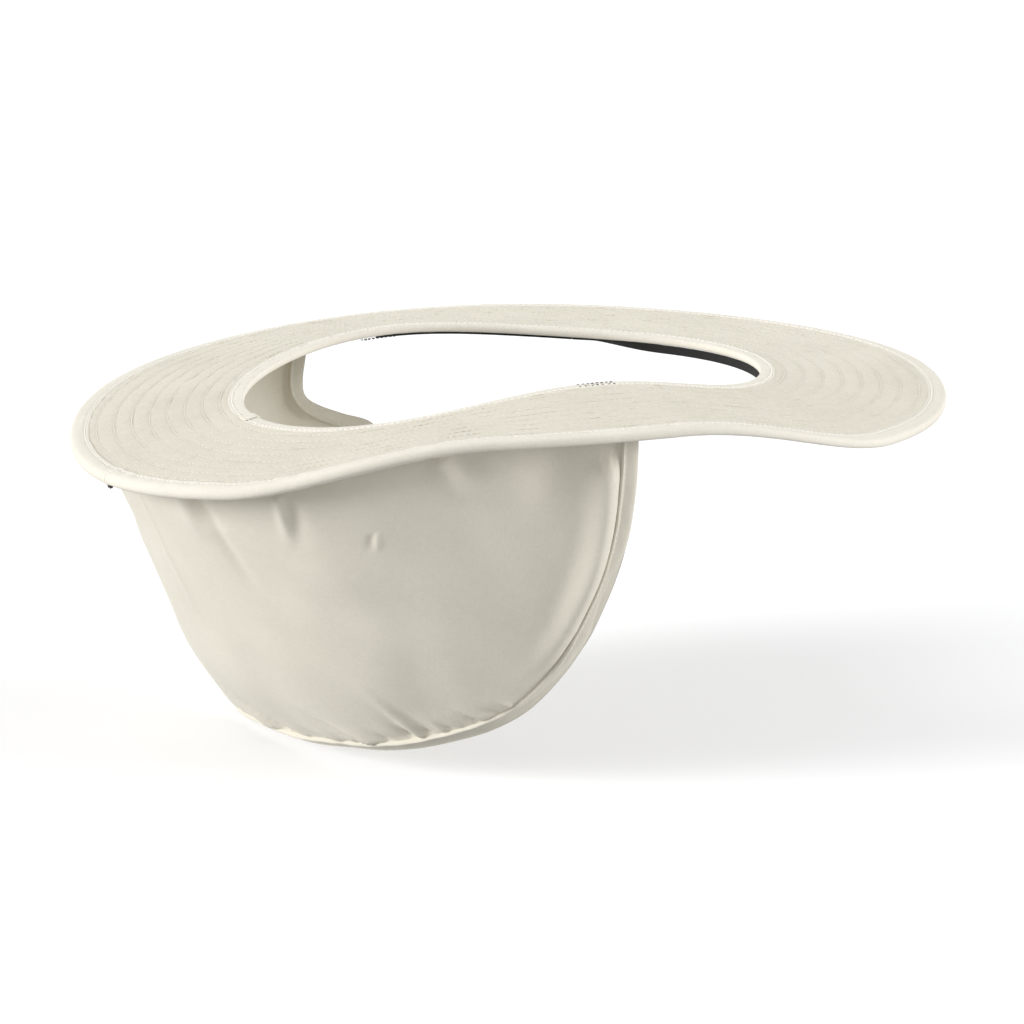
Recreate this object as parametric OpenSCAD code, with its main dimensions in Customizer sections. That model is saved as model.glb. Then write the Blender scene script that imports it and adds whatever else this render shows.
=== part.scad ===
// Hard-hat sun brim with a rear neck shade.
// +X is the wearer's front, +Y the wearer's left, +Z up.
// The origin is the centre of the opening that the hat goes through.

/* [Brim] */
// Half length of the brim, front to back
brim_half_length = 215; // [205:1:225]
// Half width of the brim, side to side
brim_half_width = 178; // [168:1:188]
// How far the brim's outline sits forward of the opening's centre
brim_forward = 5; // [0:1:8]
// Half length of the opening
opening_half_length = 128; // [120:1:134]
// Half width of the opening
opening_half_width = 100; // [94:1:106]
// Thickness of the stiff core
core_thickness = 2; // [1.5:0.1:2.4]
// Thickness of each cover fabric
cover_thickness = 0.7; // [0.4:0.1:0.9]

/* [How the soft brim lies] */
// Height of the outer edge where it lies level
edge_level = -11; // [-15:1:-7]
// Lift of the outer edge at the wearer's left
left_edge_lift = 6; // [3:1:9]
// Droop of the outer edge at the back
back_edge_droop = 15; // [11:1:18]
// Lift of the outer edge at the wearer's right
right_edge_lift = 19; // [14:1:22]
// Dip of the outer edge at the right front
front_edge_dip = 6; // [3:1:9]
// Height of the opening's rim where it lies level
rim_level = -4; // [-7:1:-1]
// Lift of the rim at the wearer's left
left_rim_lift = 8; // [5:1:11]
// Droop of the rim at the back
back_rim_droop = 5; // [2:1:8]
// Lift of the rim at the wearer's right
right_rim_lift = 18; // [14:1:21]

/* [Bindings and stitching] */
// Width of the outer binding tape, on each face
outer_binding_width = 8; // [7:0.5:10]
// Width of the inner binding tape, on each face
inner_binding_width = 7; // [6:0.5:9]
// Thickness of the binding tape
binding_thickness = 0.7; // [0.5:0.1:0.9]
// Width of a line of stitching
thread_width = 0.8; // [0.5:0.1:1]
// Height of a line of stitching above the fabric
thread_height = 0.35; // [0.2:0.05:0.5]

/* [Front elastic] */
// Angle from the front at which the free part of the elastic ends
elastic_free_angle = 50; // [40:1:56]
// Angle from the front at which its sewn part ends
elastic_sewn_angle = 95; // [80:1:96]
// Width of the elastic
elastic_width = 5; // [4:0.5:8]
// Thickness of the elastic
elastic_thickness = 0.9; // [0.7:0.1:1.2]

/* [Neck shade] */
// Angle from the front at which the shade's seam starts, on each side
shade_start_angle = 98; // [94:1:104]
// Distance of the seam inboard of the brim's edge
seam_inset = 16; // [12:0.5:18]
// Thickness of the shade's fabric
shade_thickness = 0.8; // [0.6:0.1:1.2]
// Width of the tape that covers the seam
seam_tape_width = 9; // [7:0.5:12]
// Part of the shade's height that bends where it hangs from the seam
flex_share = 0.25; // [0.2:0.01:0.3]
// Part of the shade's height that the hem takes up
hem_share = 0.055; // [0.04:0.005:0.08]

/* [Hidden] */
QUILTING_ROWS = 8;

fabric_white = [0.84, 0.81, 0.76];
fabric_shade = [0.88, 0.85, 0.80];
binding_white = [0.93, 0.91, 0.88];
thread_white = [0.90, 0.88, 0.83];
core_grey = [0.70, 0.69, 0.66];
dark_thread = [0.13, 0.11, 0.09];
elastic_black = [0.05, 0.05, 0.05];

gap = 0.1;                      // between sewn layers
body_gap = 0.4;                 // between pieces that move apart
around = 64;                    // steps round a full ring
core_top = core_thickness / 2;
cover_base = core_top + gap;
cover_top = cover_base + cover_thickness;
tape_base = cover_top + gap;
tape_top = tape_base + binding_thickness;
layer_inset = binding_thickness + 2 * gap;
binding_joint_angle = 181;      // where the outer binding's ends meet
tack_angle = 8;                 // length of each stitched tack, round the opening

// Where the soft brim's swells are: the angle of the middle and how far it spreads, in degrees
left_edge_swell = [75, 42];
back_edge_swell = [180, 38];
front_edge_swell = [315, 32];
left_rim_swell = [95, 35];
back_rim_swell = [180, 38];
right_rim_swell = [264, 36];
// Where the outer edge climbs to its right-hand lift, and where it comes down again
right_edge_climb = [205, 242];
right_edge_fall = [266, 302];

// The shade's lower edge, from the wearer's right, round the back, to the left.
lower_edge = [
    [-35, -140, -90], [-44, -130, -110], [-56, -120, -127], [-69, -110, -137],
    [-80, -96, -144], [-90, -80, -150], [-99, -63, -154], [-106, -41, -157],
    [-112, -17, -160], [-115, 12, -161], [-114, 42, -161], [-107, 62, -156],
    [-95, 80, -150], [-79, 97, -142], [-60, 111, -131], [-38, 121, -117],
    [-14, 128, -101]
];
// Its front edges, from under the seam down: straight on the right, flared on the left.
right_edge = [[-24.5, -160, -18], [-25, -155, -42], [-28, -148, -65], [-35, -140, -90]];
left_edge = [
    [-22, 161, -15], [-26, 156, -28], [-26, 153, -36], [-20, 150, -41], [-8, 146, -46],
    [5, 141, -51], [10, 137, -63], [4, 133, -80], [-14, 128, -101]
];
edge_reach = 0.2;               // share of the shade that each front edge shapes
body_centre_x = -15;            // the shade wraps round this point

// Smooth curve through four neighbours
function through(a, b, c, d, f) =
    0.5 * (2 * b + (c - a) * f + (2 * a - 5 * b + 4 * c - d) * f * f
        + (3 * b - a - 3 * c + d) * f * f * f);
function clamped(list, i) = list[max(0, min(len(list) - 1, i))];
function turned(angle) = (angle % 360 + 360) % 360;
// 1 at the middle of a swell, fading away from it on both sides
function swell(angle, place) =
    let (off = turned(angle - place[0] + 180) - 180)
    exp(-pow(off / place[1], 2));
// 0 before the first angle of a stretch and 1 after its last, smooth between
function climb(angle, stretch) =
    let (s = max(0, min(1, (turned(angle) - stretch[0]) / (stretch[1] - stretch[0]))))
    s * s * (3 - 2 * s);
function edge_height(angle) =
    edge_level + left_edge_lift * swell(angle, left_edge_swell)
        - back_edge_droop * swell(angle, back_edge_swell)
        + right_edge_lift * (climb(angle, right_edge_climb) - climb(angle, right_edge_fall))
        - front_edge_dip * swell(angle, front_edge_swell);
function rim_height(angle) =
    rim_level + left_rim_lift * swell(angle, left_rim_swell)
        - back_rim_droop * swell(angle, back_rim_swell)
        + right_rim_lift * swell(angle, right_rim_swell);
// Point on a curve given by a list of points, for u from 0 to 1
function curve_at(list, u) =
    let (w = u * (len(list) - 1), i = min(floor(w), len(list) - 2))
    through(clamped(list, i - 1), clamped(list, i), clamped(list, i + 1), clamped(list, i + 2), w - i);

function outer_point(angle) = [
    brim_forward + brim_half_length * cos(angle),
    brim_half_width * sin(angle),
    edge_height(angle)
];
function inner_point(angle) = [
    opening_half_length * cos(angle),
    opening_half_width * sin(angle),
    rim_height(angle)
];
function flat_length(v) = norm([v[0], v[1]]);
function brim_width(angle) = flat_length(outer_point(angle) - inner_point(angle));
// Point on the brim: a distance out from the opening, and a height above its middle plane
function on_brim(angle, out, up) =
    let (a = inner_point(angle), b = outer_point(angle))
    a + (b - a) * (out / brim_width(angle)) + [0, 0, up];
// The same, measured inwards from the brim's outer edge
function from_edge(angle, in, up) = on_brim(angle, brim_width(angle) - in, up);

// Sweeps a closed section along its stations: its first half runs out and its second half back, so
// that the ends can be capped and both faces of a layer are split along the same diagonals
module sweep(rings, closed) {
    n = len(rings[0]);
    count = len(rings);
    last = closed ? count - 1 : count - 2;
    sides = [
        for (i = [0:last]) let (k = (i + 1) % count) for (j = [0:n - 1]) let (m = (j + 1) % n)
        each j < n / 2
            ? [[i * n + j, k * n + m, k * n + j], [i * n + j, i * n + m, k * n + m]]
            : [[i * n + j, i * n + m, k * n + j], [i * n + m, k * n + m, k * n + j]]
    ];
    tail = (count - 1) * n;
    caps = closed ? [] : [
        for (j = [0:n / 2 - 2])
        each [
            [j, n - 2 - j, j + 1], [j, n - 1 - j, n - 2 - j],
            [tail + j, tail + j + 1, tail + n - 2 - j], [tail + j, tail + n - 2 - j, tail + n - 1 - j]
        ]
    ];
    polyhedron(points = [for (ring = rings) each ring], faces = concat(sides, caps));
}

// A ring round the brim; each section point is [out from the opening, up]
module inner_ring(section, steps = around) {
    sweep([for (i = [0:steps - 1]) [for (p = section) on_brim(360 * i / steps, p[0], p[1])]], true);
}
// A ring round the brim; each section point is [in from the outer edge, up]
module outer_ring(section, steps = around) {
    sweep([for (i = [0:steps - 1]) [for (p = section) from_edge(-360 * i / steps, p[0], p[1])]], true);
}
// Distance of a row of quilting from the opening
function row_out(angle, row) =
    let (free = brim_width(angle) - outer_binding_width - inner_binding_width)
    inner_binding_width + free * (row - 0.5) / QUILTING_ROWS;
// A layer that reaches from one binding's fold to the other's, creased along each row of quilting
module brim_layer(low, high) {
    sweep([
        for (i = [0:around - 1])
        let (
            angle = 360 * i / around,
            outs = concat(
                [layer_inset], [for (row = [1:QUILTING_ROWS]) row_out(angle, row)],
                [brim_width(angle) - layer_inset]
            ),
            last = len(outs) - 1
        )
        concat(
            [for (j = [0:last]) on_brim(angle, outs[j], low)],
            [for (j = [last:-1:0]) on_brim(angle, outs[j], high)]
        )
    ], true);
}
// Tape folded round an edge
function folded_tape(width) = [
    [width, -tape_base], [binding_thickness, -tape_base],
    [binding_thickness, tape_base], [width, tape_base],
    [width, tape_top], [1, tape_top], [0, core_top], [0, -core_top], [1, -tape_top], [width, -tape_top]
];
function thread_section(offset, base) = [
    [offset - thread_width / 2, base], [offset + thread_width / 2, base], [offset, base + thread_height]
];

// A strip that follows the brim between two angles
module brim_strip(from, to, steps, section) {
    sweep([
        for (i = [0:steps]) let (angle = from + (to - from) * i / steps)
        [for (p = section) on_brim(angle, p[0], p[1])]
    ], false);
}

module brim_top_fabric() {
    color(fabric_white) brim_layer(cover_base, cover_top);
}

module brim_core() {
    color(core_grey) brim_layer(-core_top, core_top);
}

module brim_under_fabric() {
    color(fabric_white) brim_layer(-cover_top, -cover_base);
}

module outer_binding() {
    color(binding_white) outer_ring(folded_tape(outer_binding_width));
}

module outer_binding_stitch() {
    color(thread_white) outer_ring(thread_section(outer_binding_width - 1.5, tape_top + gap));
}

module inner_binding() {
    color(binding_white) inner_ring(folded_tape(inner_binding_width));
}

module inner_binding_stitch() {
    color(thread_white) inner_ring(thread_section(inner_binding_width - 1.5, tape_top + gap));
}

// One of the concentric rows that hold the covers to the core
module quilting_row(row) {
    color(thread_white)
    sweep([
        for (i = [0:around - 1]) let (angle = 360 * i / around)
        [for (p = thread_section(row_out(angle, row), cover_top + gap)) on_brim(angle, p[0], p[1])]
    ], true);
}

// Knotted dark thread end left under the outer binding, where its two ends meet at the back
module binding_joint_thread() {
    color(dark_thread)
    sweep([
        for (i = [0:3]) let (angle = binding_joint_angle - 0.7 + 0.45 * i)
        [
            from_edge(angle, 0.6, -tape_top - 1.3), from_edge(angle, 2.6, -tape_top - 1.3),
            from_edge(angle, 2.6, -tape_top - gap), from_edge(angle, 0.6, -tape_top - gap)
        ]
    ], false);
}

elastic_top = -tape_top - 2 * gap;
elastic_inset = 2;

// The free span across the front, hanging on edge below the opening's rim
module elastic_band() {
    color(elastic_black)
    brim_strip(-elastic_free_angle, elastic_free_angle, 32, [
        [elastic_inset, elastic_top - elastic_width],
        [elastic_inset + elastic_thickness, elastic_top - elastic_width],
        [elastic_inset + elastic_thickness, elastic_top - body_gap],
        [elastic_inset, elastic_top - body_gap]
    ]);
}

// Each end lies flat under the binding, sewn down
module elastic_end(side) {
    color(elastic_black)
    brim_strip(
        side > 0 ? elastic_free_angle + 0.4 : -elastic_sewn_angle,
        side > 0 ? elastic_sewn_angle : -elastic_free_angle - 0.4, 16,
        [
            [1, elastic_top - elastic_thickness], [1 + elastic_width, elastic_top - elastic_thickness],
            [1 + elastic_width, elastic_top], [1, elastic_top]
        ]
    );
}

// Dark stitching through the binding's rim that anchors each end of the elastic
module elastic_tack(side) {
    last = side * elastic_sewn_angle;
    low = tape_top + gap;
    color(dark_thread)
    brim_strip(last - tack_angle / 2, last + tack_angle / 2, 4, [
        [1.4, low], [2.6, low], [2.6, low + thread_height], [1.4, low + thread_height]
    ]);
}

// The shade's surface: u runs from the wearer's right round the back to the left, v from seam to hem
seam_tape_top = -tape_base - 2 * gap;
tape_low = seam_tape_top - binding_thickness;
function seam_angle(u) = -shade_start_angle - (360 - 2 * shade_start_angle) * u;
function seam_point(u) = from_edge(seam_angle(u), seam_inset, tape_low - 2 * gap);
// The cloth first hangs nearly straight, then draws in towards the hem
function draw_in(v) = 0.72 * v + 0.28 * v ^ 6;
function hang(u, v) =
    let (a = seam_point(u), b = curve_at(lower_edge, u), h = draw_in(v))
    [a[0] + (b[0] - a[0]) * h, a[1] + (b[1] - a[1]) * h, a[2] + (b[2] - a[2]) * v];
function edge_pull(distance) = max(0, 1 - distance / edge_reach) ^ 2;
function right_front(v) = curve_at(concat([seam_point(0)], right_edge), v);
function left_front(v) = curve_at(concat([seam_point(1)], left_edge), v);
function shade_at(u, v) =
    hang(u, v)
    + edge_pull(u) * (right_front(v) - hang(0, v))
    + edge_pull(1 - u) * (left_front(v) - hang(1, v));
// Horizontal direction away from the wearer's neck
function outward(p) =
    let (d = [p[0] - body_centre_x, p[1]])
    [d[0], d[1], 0] / norm(d);
function shade_skin(u, v, out) = let (p = shade_at(u, v)) p + outward(p) * out;

// A patch of the shade between two values of u and two of v
module shade_patch(u0, u1, v0, v1, columns, rows) {
    sweep([
        for (i = [0:columns]) let (u = u0 + (u1 - u0) * i / columns)
        concat(
            [for (j = [0:rows]) shade_skin(u, v0 + (v1 - v0) * j / rows, shade_thickness / 2)],
            [for (j = [rows:-1:0]) shade_skin(u, v0 + (v1 - v0) * j / rows, -shade_thickness / 2)]
        )
    ], false);
}

hem_side_share = 0.018;
hem_thickness = 1.8;
hem_gap = 0.003;
// The hem's path: down the right front edge, along the bottom and up the left front edge
hem_path = concat(
    [for (i = [0:7]) let (v = flex_share + hem_gap + (1 - hem_share - flex_share) * i / 8)
        [[0, v], [hem_side_share, v]]],
    [[[0, 1], [hem_side_share, 1 - hem_share]]],
    [for (i = [1:35]) let (u = hem_side_share + (1 - 2 * hem_side_share) * i / 36)
        [[u, 1], [u, 1 - hem_share]]],
    [[[1, 1], [1 - hem_side_share, 1 - hem_share]]],
    [for (i = [7:-1:0]) let (v = flex_share + hem_gap + (1 - hem_share - flex_share) * i / 8)
        [[1, v], [1 - hem_side_share, v]]]
);
function mixed(a, b, share) = a + (b - a) * share;
// A strip of the hem between two shares of its width and two distances from its middle
module hem_strip(share0, share1, low, high) {
    sweep([
        for (station = hem_path)
        let (a = mixed(station[0], station[1], share0), b = mixed(station[0], station[1], share1))
        [
            shade_skin(a[0], a[1], low), shade_skin(b[0], b[1], low),
            shade_skin(b[0], b[1], high), shade_skin(a[0], a[1], high)
        ]
    ], false);
}

// Flat tape sewn under the brim over the shade's top edge
module shade_seam_tape() {
    color(binding_white)
    sweep([
        for (i = [0:40]) let (angle = seam_angle(i / 40))
        [
            for (p = [
                [seam_inset - seam_tape_width / 3, tape_low], [seam_inset + seam_tape_width * 2 / 3, tape_low],
                [seam_inset + seam_tape_width * 2 / 3, seam_tape_top],
                [seam_inset - seam_tape_width / 3, seam_tape_top]
            ]) from_edge(angle, p[0], p[1])
        ]
    ], false);
}

// The upper part of the shade, which bends as the rest swings
module shade_top_band() {
    color(fabric_shade) shade_patch(0, 1, 0, flex_share, 44, 3);
}

module shade_panel() {
    color(fabric_shade)
    shade_patch(
        hem_side_share + hem_gap, 1 - hem_side_share - hem_gap,
        flex_share + hem_gap, 1 - hem_share - hem_gap, 44, 9
    );
}

module shade_hem() {
    color(fabric_shade) hem_strip(0, 1, -hem_thickness / 2, hem_thickness / 2);
}

module shade_hem_stitch() {
    stitch_base = hem_thickness / 2 + gap;
    color(thread_white) hem_strip(0.78, 0.88, stitch_base, stitch_base + thread_height);
}

brim_top_fabric();
brim_core();
brim_under_fabric();
outer_binding();
outer_binding_stitch();
inner_binding();
inner_binding_stitch();
for (row = [1:QUILTING_ROWS])
    quilting_row(row);
binding_joint_thread();
elastic_band();
elastic_end(1);  // elastic_end_left
elastic_end(-1);  // elastic_end_right
elastic_tack(1);  // elastic_tack_left
elastic_tack(-1);  // elastic_tack_right
shade_seam_tape();
shade_top_band();
shade_panel();
shade_hem();
shade_hem_stitch();
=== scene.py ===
"""Looks of a hard-hat sun brim with a rear neck shade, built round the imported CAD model.

Shapes are worked out in millimetres with the CAD model's own formulas, and turned into metres when a mesh
is made. Angles are in degrees from the wearer's front (+X) towards the wearer's left (+Y).
"""

import math

import bpy
import numpy as np
from mathutils import Matrix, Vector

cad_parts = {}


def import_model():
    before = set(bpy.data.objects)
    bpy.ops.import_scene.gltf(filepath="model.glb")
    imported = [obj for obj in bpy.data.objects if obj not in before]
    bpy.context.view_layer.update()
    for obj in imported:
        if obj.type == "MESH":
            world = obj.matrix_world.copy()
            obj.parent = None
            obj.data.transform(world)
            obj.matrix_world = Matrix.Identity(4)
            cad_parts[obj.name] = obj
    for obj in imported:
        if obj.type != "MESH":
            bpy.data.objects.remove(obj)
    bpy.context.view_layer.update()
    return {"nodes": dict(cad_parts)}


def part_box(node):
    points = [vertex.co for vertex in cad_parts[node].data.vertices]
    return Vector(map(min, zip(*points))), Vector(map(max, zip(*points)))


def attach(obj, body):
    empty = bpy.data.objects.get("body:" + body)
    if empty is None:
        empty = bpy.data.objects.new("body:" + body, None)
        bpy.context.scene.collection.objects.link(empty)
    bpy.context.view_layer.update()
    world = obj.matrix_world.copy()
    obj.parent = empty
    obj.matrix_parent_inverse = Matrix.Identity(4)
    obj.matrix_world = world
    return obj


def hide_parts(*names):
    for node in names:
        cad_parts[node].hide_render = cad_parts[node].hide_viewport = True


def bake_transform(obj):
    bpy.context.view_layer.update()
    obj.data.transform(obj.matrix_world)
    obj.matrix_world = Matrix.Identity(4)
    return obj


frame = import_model()

MM = 0.001

# ---------------------------------------------------------------- sizes, as in the CAD model
BRIM_HALF_LENGTH = 215
BRIM_HALF_WIDTH = 178
BRIM_FORWARD = 5
OPENING_HALF_LENGTH = 128
OPENING_HALF_WIDTH = 100
EDGE_LEVEL = -11
LEFT_EDGE_LIFT = 6
BACK_EDGE_DROOP = 15
RIGHT_EDGE_LIFT = 19
FRONT_EDGE_DIP = 6
RIM_LEVEL = -4
LEFT_RIM_LIFT = 8
BACK_RIM_DROOP = 5
RIGHT_RIM_LIFT = 18
# Where the soft brim's swells are: the angle of the middle and how far it spreads
LEFT_EDGE_SWELL = (75, 42)
BACK_EDGE_SWELL = (180, 38)
FRONT_EDGE_SWELL = (315, 32)
LEFT_RIM_SWELL = (95, 35)
BACK_RIM_SWELL = (180, 38)
RIGHT_RIM_SWELL = (264, 36)
# Where the outer edge climbs to its right-hand lift, and where it comes down again
RIGHT_EDGE_CLIMB = (205, 242)
RIGHT_EDGE_FALL = (266, 302)
OUTER_TAPE_WIDTH = 8
INNER_TAPE_WIDTH = 7
QUILTING_ROWS = 8
COVER_BASE = 1.1
COVER_TOP = 1.8
LAYER_INSET = 0.9
SEAM_INSET = 16
SEAM_TAPE_LOW = -2.8
SHADE_START_ANGLE = 98
SHADE_THICKNESS = 0.8
HEM_WIDTH = 7.6

# The shade's lower edge, from the wearer's right, round the back, to the left
LOWER_EDGE = [
    [-35, -140, -90], [-44, -130, -110], [-56, -120, -127], [-69, -110, -137],
    [-80, -96, -144], [-90, -80, -150], [-99, -63, -154], [-106, -41, -157],
    [-112, -17, -160], [-115, 12, -161], [-114, 42, -161], [-107, 62, -156],
    [-95, 80, -150], [-79, 97, -142], [-60, 111, -131], [-38, 121, -117],
    [-14, 128, -101],
]
RIGHT_EDGE = [[-24.5, -160, -18], [-25, -155, -42], [-28, -148, -65], [-35, -140, -90]]
LEFT_EDGE = [
    [-22, 161, -15], [-26, 156, -28], [-26, 153, -36], [-20, 150, -41], [-8, 146, -46],
    [5, 141, -51], [10, 137, -63], [4, 133, -80], [-14, 128, -101],
]
EDGE_REACH = 0.2


# ---------------------------------------------------------------- the CAD model's curves
def through(a, b, c, d, f):
    """Smooth curve through four neighbours, at the share f of the way from b to c."""
    return 0.5 * (2 * b + (c - a) * f + (2 * a - 5 * b + 4 * c - d) * f**2 + (3 * b - a - 3 * c + d) * f**3)


def turned(angle, middle):
    """Angles as offsets from a middle one, from -180 to 180."""
    return (np.asarray(angle, float) - middle + 180) % 360 - 180


def swell(angle, place):
    """1 at the middle of a swell, fading away from it on both sides."""
    middle, spread = place
    return gauss(turned(angle, middle) / spread)


def climb(angle, stretch):
    """0 before the first angle of a stretch and 1 after its last, smooth between."""
    return step_up(np.asarray(angle, float) % 360, *stretch)


def edge_height(angle):
    lift = climb(angle, RIGHT_EDGE_CLIMB) - climb(angle, RIGHT_EDGE_FALL)
    height = EDGE_LEVEL + LEFT_EDGE_LIFT * swell(angle, LEFT_EDGE_SWELL)
    height = height - BACK_EDGE_DROOP * swell(angle, BACK_EDGE_SWELL)
    return height + RIGHT_EDGE_LIFT * lift - FRONT_EDGE_DIP * swell(angle, FRONT_EDGE_SWELL)


def rim_height(angle):
    height = RIM_LEVEL + LEFT_RIM_LIFT * swell(angle, LEFT_RIM_SWELL)
    height = height - BACK_RIM_DROOP * swell(angle, BACK_RIM_SWELL)
    return height + RIGHT_RIM_LIFT * swell(angle, RIGHT_RIM_SWELL)


def curve_at(points, u):
    """Point on a curve given by a list of points, for u from 0 to 1."""
    points = np.array(points, float)
    last = len(points) - 1
    place = np.asarray(u, float) * last
    i = np.clip(np.floor(place).astype(int), 0, last - 1)
    picked = [points[np.clip(i + k, 0, last)] for k in (-1, 0, 1, 2)]
    return through(*picked, (place - i)[..., None])


def outer_point(angle):
    a = np.radians(angle)
    return np.stack([
        BRIM_FORWARD + BRIM_HALF_LENGTH * np.cos(a),
        BRIM_HALF_WIDTH * np.sin(a),
        edge_height(angle),
    ], -1)


def inner_point(angle):
    a = np.radians(angle)
    return np.stack([
        OPENING_HALF_LENGTH * np.cos(a),
        OPENING_HALF_WIDTH * np.sin(a),
        rim_height(angle),
    ], -1)


def brim_width(angle):
    return np.linalg.norm((outer_point(angle) - inner_point(angle))[..., :2], axis=-1)


def on_brim(angle, out, up):
    """Points on the brim: a distance out from the opening, and a height above its middle plane."""
    angle, out, up = np.broadcast_arrays(np.asarray(angle, float), out, up)
    a, b = inner_point(angle), outer_point(angle)
    points = a + (b - a) * (out / brim_width(angle))[..., None]
    points[..., 2] += up
    return points


def from_edge(angle, inward, up):
    """The same, measured inwards from the brim's outer edge."""
    return on_brim(angle, brim_width(angle) - inward, up)


def row_out(angle, row):
    """Distance of a row of quilting from the opening."""
    free = brim_width(angle) - OUTER_TAPE_WIDTH - INNER_TAPE_WIDTH
    return INNER_TAPE_WIDTH + free * (row - 0.5) / QUILTING_ROWS


def seam_angle(u):
    return -SHADE_START_ANGLE - (360 - 2 * SHADE_START_ANGLE) * np.asarray(u, float)


def seam_point(u):
    return from_edge(seam_angle(u), SEAM_INSET, SEAM_TAPE_LOW - 0.2)


def hang(u, v):
    a, b = seam_point(u), curve_at(LOWER_EDGE, u)
    across = 0.72 * v + 0.28 * v**6
    return np.stack([
        a[..., 0] + (b[..., 0] - a[..., 0]) * across,
        a[..., 1] + (b[..., 1] - a[..., 1]) * across,
        a[..., 2] + (b[..., 2] - a[..., 2]) * v,
    ], -1)


def shade_at(u, v):
    """The shade's middle surface: u from the right round the back to the left, v from seam to hem."""
    u, v = np.broadcast_arrays(np.asarray(u, float), np.asarray(v, float))
    points = hang(u, v)
    for end, edge in ((0.0, RIGHT_EDGE), (1.0, LEFT_EDGE)):
        front = curve_at(np.vstack([seam_point(end)[None], edge]), v)
        pull = np.maximum(0, 1 - np.abs(u - end) / EDGE_REACH) ** 2
        points = points + pull[..., None] * (front - hang(np.full_like(u, end), v))
    return points


# ---------------------------------------------------------------- small helpers
def unit(vectors):
    return vectors / np.maximum(np.linalg.norm(vectors, axis=-1, keepdims=True), 1e-9)


def gauss(x):
    return np.exp(-x * x)


def step_up(x, low, high):
    """0 below low and 1 above high, smooth between."""
    t = np.clip((x - low) / (high - low), 0, 1)
    return t * t * (3 - 2 * t)


def ring_ripple(angle, wavelength, girth, seed, waves=9):
    """Irregular ripple round a ring, from about -1 to 1, that closes on itself."""
    rng = np.random.default_rng(seed)
    middle = girth / wavelength
    total = 0
    for _ in range(waves):
        turns = round(middle * rng.uniform(0.6, 1.6))
        total = total + np.sin(np.radians(angle) * turns + rng.uniform(0, 2 * math.pi)) * rng.uniform(0.5, 1)
    return total / math.sqrt(waves)


def cloth_ripple(x, y, wavelength, seed, waves=14):
    """Irregular ripple over a plane, from about -1 to 1."""
    rng = np.random.default_rng(seed)
    total = 0
    for _ in range(waves):
        turn = rng.uniform(0, math.pi)
        k = 2 * math.pi / (wavelength * rng.uniform(0.7, 1.6))
        total = total + np.sin((x * math.cos(turn) + y * math.sin(turn)) * k + rng.uniform(0, 2 * math.pi))
    return total / math.sqrt(waves)


def lengths_along(path):
    return np.concatenate([[0], np.cumsum(np.linalg.norm(np.diff(path, axis=0), axis=-1))])


def at_length(values, lengths, wanted):
    """Rows of values looked up at the wanted lengths along a path."""
    return np.stack([np.interp(wanted, lengths, values[:, k]) for k in range(values.shape[1])], -1)


def grid_faces(rows, columns, wrap_rows=False, wrap_columns=False):
    """Quads of a grid whose points are numbered row by row."""
    i = np.arange(rows if wrap_rows else rows - 1)
    j = np.arange(columns if wrap_columns else columns - 1)
    i, j = np.meshgrid(i, j, indexing="ij")
    ni, nj = (i + 1) % rows, (j + 1) % columns
    corners = [i * columns + j, ni * columns + j, ni * columns + nj, i * columns + nj]
    return np.stack(corners, -1).reshape(-1, 4)


def make_piece(name, points, faces, cloth, material):
    """A mesh object from points in millimetres. cloth is each point's place on the flat material, in mm."""
    mesh = bpy.data.meshes.new(name)
    mesh.from_pydata((np.asarray(points).reshape(-1, 3) * MM).tolist(), [], faces)
    mesh.validate()
    place = mesh.attributes.new("cloth", "FLOAT_VECTOR", "POINT")
    flat = np.zeros((len(mesh.vertices), 3), np.float32)
    flat[:, :2] = np.asarray(cloth, np.float32).reshape(-1, 2)
    place.data.foreach_set("vector", flat.ravel())
    mesh.polygons.foreach_set("use_smooth", [True] * len(mesh.polygons))
    mesh.materials.append(material)
    piece = bpy.data.objects.new(name, mesh)
    bpy.context.scene.collection.objects.link(piece)
    return piece


def swept(name, rings, closed, along, across, material):
    """A closed section swept along its stations. rings is stations x section points x 3."""
    stations, sides = rings.shape[:2]
    faces = grid_faces(stations, sides, wrap_rows=closed, wrap_columns=True).tolist()
    if not closed:
        first, last = list(range(sides)), list(range((stations - 1) * sides, stations * sides))
        faces += [first, last[::-1]]
    cloth = np.stack(np.broadcast_arrays(np.asarray(along)[:, None], np.asarray(across)[None, :]), -1)
    return make_piece(name, rings, faces, cloth, material)


# Along one stitch: shares of its length, and its heights and radii there, both in thread radii
STITCH_SHARES = np.array([0, 0.16, 0.5, 0.84, 1])
STITCH_RISE = np.array([-1.6, 0.0, 0.35, 0.0, -1.6])
STITCH_FATNESS = np.array([0.5, 0.95, 1.0, 0.95, 0.5])
STITCH_SIDES = 6


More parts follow.
